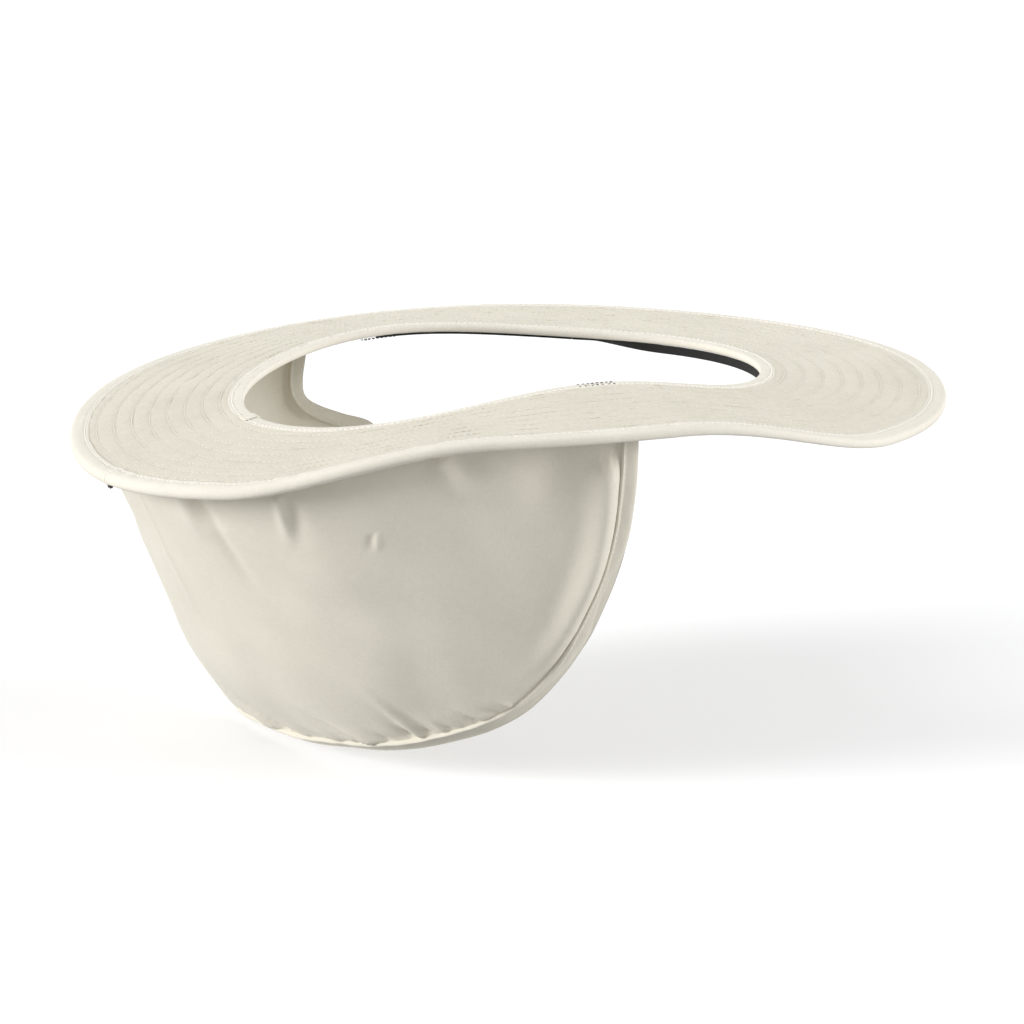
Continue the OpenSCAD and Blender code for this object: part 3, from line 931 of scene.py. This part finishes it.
edge_lengths, edge_points, edge_normals, edge_inwards = outline_of_shade()
right_side = lengths_along(shade_at(np.zeros(200), np.linspace(0, 1, 200)))[-1]
bottom_length = lengths_along(shade_at(np.linspace(0, 1, 800), np.ones(800)))[-1]


def nearest_edge(points):
    """Each point's distance from the shade's free edge, and where along the edge that is."""
    flat = points.reshape(-1, 3)
    away, where = np.zeros(len(flat)), np.zeros(len(flat))
    squares = (edge_points**2).sum(-1)
    for start in range(0, len(flat), 4000):
        part = flat[start:start + 4000]
        distance = (part**2).sum(-1)[:, None] + squares[None] - 2 * part @ edge_points.T
        nearest = distance.argmin(1)
        away[start:start + 4000] = np.sqrt(np.maximum(distance[np.arange(len(part)), nearest], 0))
        where[start:start + 4000] = edge_lengths[nearest]
    return away.reshape(points.shape[:-1]), where.reshape(points.shape[:-1])


# Folds of the cloth: (u and v at the top, u and v at the foot, half width in u, height in mm)
FOLDS = [
    (0.413, 0.02, 0.402, 0.16, 0.0085, -2.4),
    (0.428, 0.02, 0.421, 0.20, 0.0090, 1.3),
    (0.402, 0.12, 0.385, 0.42, 0.0065, -0.9),
    (0.309, 0.00, 0.317, 0.22, 0.0050, 2.0),
    (0.298, 0.02, 0.304, 0.22, 0.0060, -0.9),
    (0.168, 0.01, 0.154, 0.19, 0.0080, 1.6),
    (0.154, 0.00, 0.141, 0.14, 0.0110, -1.4),
    (0.232, 0.23, 0.236, 0.29, 0.0026, 0.55),
    (0.2385, 0.23, 0.2435, 0.29, 0.0036, -0.4),
    (0.509, 0.05, 0.512, 0.60, 0.0035, 0.45),
    (0.072, 0.00, 0.060, 0.40, 0.022, -2.0),
    (0.620, 0.00, 0.600, 0.30, 0.014, -2.0),
    (0.700, 0.00, 0.690, 0.35, 0.012, 1.6),
    (0.800, 0.02, 0.790, 0.45, 0.016, -1.8),
    (0.900, 0.02, 0.880, 0.40, 0.015, 1.5),
]
FOLD_DEPTH = 1.4
# Puckers drawn up from the bottom hem: (share along it, then length, half width and height in mm, slant)
LARGE_PUCKERS = [
    (0.479, 30, 3.0, -2.4, 0.80), (0.500, 26, 3.4, 1.8, 0.80),
    (0.323, 26, 1.9, 2.0, 1.10), (0.337, 22, 2.4, -1.7, 1.10),
    (0.256, 34, 2.3, 2.8, 0.35), (0.245, 28, 2.8, -2.0, 0.35), (0.269, 26, 3.2, -1.4, 0.35),
    (0.224, 15, 1.6, 1.4, 0.40),
]
SMALL_PUCKERS = 44


def pucker_list():
    rng = np.random.default_rng(77)
    found = list(LARGE_PUCKERS)
    for k in range(SMALL_PUCKERS):
        share = 0.12 + 0.82 * (k + rng.uniform(0, 0.9)) / SMALL_PUCKERS
        height = rng.uniform(0.8, 1.5) * rng.choice([-1.2, 0.8])
        found.append((share, rng.uniform(8, 17), rng.uniform(1.0, 1.9), height, rng.uniform(0.4, 1.0)))
    return found


def shade_relief(u, v, points):
    """How far the cloth stands out from its smooth surface, in mm."""
    away, where = nearest_edge(points)
    across, down = u * CLOTH_GIRTH, v * CLOTH_DROP
    total = 1.2 * cloth_ripple(across, down * 0.45, 85, 61) + 0.30 * cloth_ripple(across, down * 0.6, 24, 62)
    for u0, v0, u1, v1, half, height in FOLDS:
        share = (v - v0) / (v1 - v0)
        line = u0 + (u1 - u0) * share
        fade = step_up(share, -0.25, 0.15) * (1 - step_up(share, 0.35, 1.1))
        wide = half * (1 + 0.7 * np.clip(share, 0, 1))
        total = total + FOLD_DEPTH * height * gauss((u - line) / wide) * fade
    # the cloth swells out beside the near front hem and beside the far one
    bulge = gauss((away - 14) / 6.2) * step_up(where, 6, 22) * (1 - step_up(where, 70, 150))
    hollow = 2.2 * gauss((away - 38) / 14) * step_up(where, 4, 20) * (1 - step_up(where, 50, 120))
    total = total + 6.0 * bulge - hollow
    far = edge_lengths[-1] - where
    total = total + 2.5 * gauss((away - 16) / 9) * step_up(far, 6, 25) * (1 - step_up(far, 70, 140))
    # and over the whole bottom hem
    along_bottom = where - right_side
    bottom = step_up(along_bottom, -30, 20)
    bottom = bottom * (1 - step_up(along_bottom, bottom_length - 20, bottom_length + 30))
    total = total + 0.4 * gauss((away - 15) / 6) * bottom
    for share, length, half, height, slant in pucker_list():
        line = along_bottom - share * bottom_length - slant * (away - HEM_WIDTH)
        rise = np.clip((away - HEM_WIDTH) / length, 0, None)
        total = total + height * gauss(line / (half * (1 + rise))) * np.exp(-2.2 * rise**1.5) * bottom
    hold = step_up(away, HEM_WIDTH - 0.8, HEM_WIDTH + 2.4) * step_up(down, 0, 7)
    return total * hold


def shade_sheet():
    u = np.linspace(0, 1, SHADE_COLUMNS)[:, None]
    v = np.linspace(0, 1, SHADE_ROWS)[None, :]
    u, v = np.broadcast_arrays(u, v)
    middle = shade_at(u, v)
    normals = unit(np.cross(np.gradient(middle, axis=0), np.gradient(middle, axis=1)))
    normals = facing_out(normals, middle)
    surface = middle + normals * shade_relief(u, v, middle)[..., None]
    surface[:, 0, 2] += 0.6
    normals = unit(np.cross(np.gradient(surface, axis=0), np.gradient(surface, axis=1)))
    normals = facing_out(normals, middle)
    half = SHADE_THICKNESS / 2
    outer, inner = surface + normals * half, surface - normals * half
    count = SHADE_COLUMNS * SHADE_ROWS
    faces = grid_faces(SHADE_COLUMNS, SHADE_ROWS)
    border = np.concatenate([
        np.arange(SHADE_COLUMNS) * SHADE_ROWS,
        (SHADE_COLUMNS - 1) * SHADE_ROWS + np.arange(1, SHADE_ROWS),
        np.arange(SHADE_COLUMNS - 2, -1, -1) * SHADE_ROWS + SHADE_ROWS - 1,
        np.arange(SHADE_ROWS - 2, 0, -1),
    ])
    after = np.roll(border, -1)
    rim = np.stack([border, border + count, after + count, after], -1)
    all_faces = np.concatenate([faces, faces[:, ::-1] + count, rim[:, ::-1]])
    girth = lengths_along(middle[:, SHADE_ROWS // 2])
    cloth = np.stack(np.broadcast_arrays(girth[:, None], v * WEAVE_DROP), -1)
    return make_piece(
        "shade_cloth", np.concatenate([outer.reshape(-1, 3), inner.reshape(-1, 3)]), all_faces.tolist(),
        np.concatenate([cloth.reshape(-1, 2)] * 2), shade_fabric,
    )


# Hem: half of its section, (in from the cloth's edge, height above the cloth), from the edge on
HEM_ROLL = [
    [-0.25, 0.0], [-0.1, 0.6], [0.5, 1.0], [1.6, 1.2], [3.0, 1.2], [4.4, 1.05], [5.4, 0.9], [6.0, 0.85],
    [6.5, 1.45], [7.0, 2.15], [7.5, 2.1], [7.9, 1.3], [7.9, 0.3],
]
HEM_STITCH_IN = 6.1


def hem_frame():
    """How the hem's tape lies along the edge: its sideways shift and how it leans inwards at the bottom."""
    length = edge_lengths
    total = length[-1]
    along_bottom = step_up(length, right_side - 40, right_side + 60)
    along_bottom = along_bottom * (1 - step_up(length, total - 190, total - 90))
    sway = np.sin(length / 17 + 0.7) * 0.5 + np.sin(length / 9.3 + 2.0) * 0.22
    sway = sway * step_up(length, 4, 30) * (1 - along_bottom * 0.4)
    return sway, along_bottom


def on_hem(inward, lift):
    """Points over the hem at a distance in from the cloth's edge and a height above it."""
    sway, bottom = hem_frame()
    free = 1 - inward / HEM_WIDTH
    lean = -4.0 * bottom * np.clip(free, 0, 1) ** 2 + sway * np.clip(free, 0, 1) * 2.2
    return edge_points + edge_inwards * inward + edge_normals * (lift + lean)[:, None]


def hem_tape():
    roll = np.array(HEM_ROLL, float)
    section = np.concatenate([roll[:0:-1] * [1, -1], roll])
    rings = []
    for inward, lift in section:
        ripple = 0.10 * np.sin(edge_lengths / 2.1 + inward) + 0.08 * np.sin(edge_lengths / 3.7 - inward * 0.6)
        ripple = ripple * np.clip(abs(lift) - 0.7, 0, 1) * math.copysign(1, lift)
        rings.append(on_hem(inward, np.full_like(edge_lengths, lift) + ripple))
    rings = np.stack(rings, 1)
    rings[0, :, 2] += 0.4
    rings[-1, :, 2] += 0.4
    return swept("hem_tape", rings, False, edge_lengths, lengths_along(section), shade_fabric)


shade_cloth = shade_sheet()
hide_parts("shade_top_band", "shade_panel")
hem = hem_tape()
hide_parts("shade_hem")
hem_runs = [
    (on_hem(HEM_STITCH_IN, np.full_like(edge_lengths, 0.9)), edge_normals),
    (on_hem(HEM_STITCH_IN, np.full_like(edge_lengths, -0.9)), -edge_normals),
]
hem_stitches = stitches("hem_stitches", hem_runs, quilting_thread, "thread", radius=0.26, pitch=2.8, seed=480)
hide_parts("shade_hem_stitch")

# The shade's pieces get their placement baked into their meshes
for piece in (shade_cloth, hem, hem_stitches):
    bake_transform(piece)

core = frame["nodes"]["brim_core"]
core.data.materials.clear()
core.data.materials.append(core_felt)

# ---------------------------------------------------------------- floor, light and camera
def floor_material():
    material, nodes, links, shader = new_material("pale_floor")
    place = nodes.new("ShaderNodeTexCoord").outputs["Object"]
    clouds = noise_node(nodes, links, place, 3.0)
    colour = ramp(nodes, links, clouds, [(0.3, (0.80, 0.80, 0.81)), (0.7, (0.82, 0.82, 0.83))])
    links.new(colour, shader.inputs["Base Color"])
    shader.inputs["Roughness"].default_value = 0.9
    shader.inputs["Specular IOR Level"].default_value = 0.1
    shader.inputs["Emission Color"].default_value = (0.98, 0.985, 1.0, 1)
    shader.inputs["Emission Strength"].default_value = 0.22
    return material


def floor():
    size = 30.0
    level = min(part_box("shade_hem")[0].z, -0.163) - 0.0012
    mesh = bpy.data.meshes.new("floor")
    corners = [(x * size, y * size, level) for x, y in ((-1, -1), (1, -1), (1, 1), (-1, 1))]
    mesh.from_pydata(corners, [], [(0, 1, 2, 3)])
    mesh.materials.append(floor_material())
    ground = bpy.data.objects.new("floor", mesh)
    bpy.context.scene.collection.objects.link(ground)
    ground.visible_diffuse = False


VIEW_TURN = math.radians(30)
VIEW_ELEVATION = math.radians(12)
VIEW_DIP = math.radians(1.488)  # the camera points this far below the opening's centre
VIEW_SIDESTEP = 0.00375
VIEW_DISTANCE = 2.5
PICTURE_WIDTH = 1024
SENSOR = 36.0
PIXELS_PER_METRE = 2120
SIGHT = np.array([
    math.sin(VIEW_TURN) * math.cos(VIEW_ELEVATION),
    math.cos(VIEW_TURN) * math.cos(VIEW_ELEVATION),
    -math.sin(VIEW_ELEVATION),
])
RIGHT = np.array([math.cos(VIEW_TURN), -math.sin(VIEW_TURN), 0])
UP = np.cross(RIGHT, SIGHT)


def axes_at(x, y, z, place):
    """The matrix of an object whose own axes are x, y and z."""
    return Matrix([[*row] for row in np.stack([x, y, z, place], -1)] + [[0, 0, 0, 1]])


def camera():
    data = bpy.data.cameras.new("camera")
    data.sensor_width = SENSOR
    data.lens = SENSOR * PIXELS_PER_METRE * VIEW_DISTANCE / PICTURE_WIDTH
    data.clip_end = 200
    eye = bpy.data.objects.new("camera", data)
    bpy.context.scene.collection.objects.link(eye)
    ahead = SIGHT * math.cos(VIEW_DIP) - UP * math.sin(VIEW_DIP)
    above = UP * math.cos(VIEW_DIP) + SIGHT * math.sin(VIEW_DIP)
    eye.matrix_world = axes_at(RIGHT, above, -ahead, RIGHT * VIEW_SIDESTEP - SIGHT * VIEW_DISTANCE)
    bpy.context.scene.camera = eye


def soft_sun(name, towards, spread, strength, colour):
    """An even light from a direction, as wide as a large soft box: spread is its width in degrees."""
    data = bpy.data.lights.new(name, "SUN")
    data.angle = math.radians(spread)
    data.energy = strength
    data.color = colour
    light = bpy.data.objects.new(name, data)
    bpy.context.scene.collection.objects.link(light)
    back = unit(np.array(towards, float))
    side = unit(np.cross([0, 0, 1], back))
    light.matrix_world = axes_at(side, np.cross(back, side), back, back * 2)


def world():
    """Soft light from all round, dimmer from below."""
    surroundings = bpy.data.worlds.new("studio")
    surroundings.use_nodes = True
    nodes, links = surroundings.node_tree.nodes, surroundings.node_tree.links
    background = nodes["Background"]
    way = nodes.new("ShaderNodeTexCoord").outputs["Generated"]
    parts = nodes.new("ShaderNodeSeparateXYZ")
    links.new(way, parts.inputs[0])
    level = math_node(nodes, links, "MULTIPLY_ADD", parts.outputs[2], 0.5, 0.5)
    colour = ramp(nodes, links, level, [(0.35, (0.70, 0.70, 0.70)), (0.6, (0.98, 0.985, 0.99))])
    links.new(colour, background.inputs["Color"])
    background.inputs["Strength"].default_value = 0.73
    bpy.context.scene.world = surroundings


floor()
world()
camera()
WARM_WHITE = (1.0, 0.997, 0.985)
soft_sun("key", -RIGHT * 0.95 - SIGHT * 0.3 + UP * 0.22, 26, 2.7, WARM_WHITE)
soft_sun("second", RIGHT * 0.95 - SIGHT * 0.15 + UP * 0.22, 28, 2.2, WARM_WHITE)
bpy.context.scene.view_settings.view_transform = "Standard"
